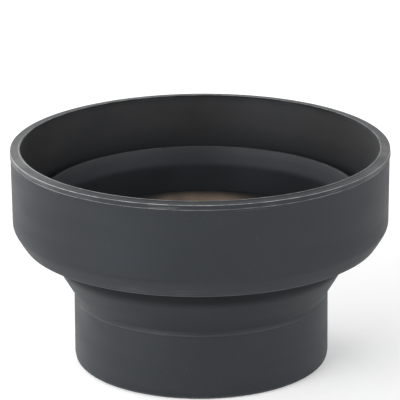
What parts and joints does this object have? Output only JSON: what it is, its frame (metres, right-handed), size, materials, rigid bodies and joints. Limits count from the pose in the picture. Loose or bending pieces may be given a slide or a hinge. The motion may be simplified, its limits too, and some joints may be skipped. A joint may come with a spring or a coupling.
{
  "type": "collapsible lens hood",
  "caption": "Round folding rubber lens hood: a wide front barrel folds back over a narrower sleeve and a conical neck with a recessed screw-in metal ring inside.",
  "frame": {"origin": "centre of the neck's bottom edge, which the hood stands on", "axes": "+Z along the optical axis, from the neck towards the mouth"},
  "size_m": [0.086, 0.086, 0.0504],
  "materials": {
    "rubber": "matte moulded rubber, dark blue-grey, with a faint sheen",
    "fold_rubber": "matte moulded rubber, thin and flexible at the living hinges",
    "anodised_metal": "black anodised, fine turned lines"
  },
  "bodies": {
    "root": {"neck_sleeve": "rubber", "rear_fold": "fold_rubber", "mount_ring": "anodised_metal", "clamp_ring": "anodised_metal"},
    "middle": {"middle_sleeve": "rubber", "front_fold": "fold_rubber"},
    "front": {"front_barrel": "rubber"}
  },
  "joints": [
    {"name": "rear_fold_slide", "type": "slide", "parent": "root", "child": "middle", "axis": [0, 0, 1], "range_m": [-0.0256, 0], "deforming": ["rear_fold"]},
    {"name": "front_fold_slide", "type": "slide", "parent": "middle", "child": "front", "axis": [0, 0, 1], "range_m": [0, 0.02], "deforming": ["front_fold"]}
  ]
}
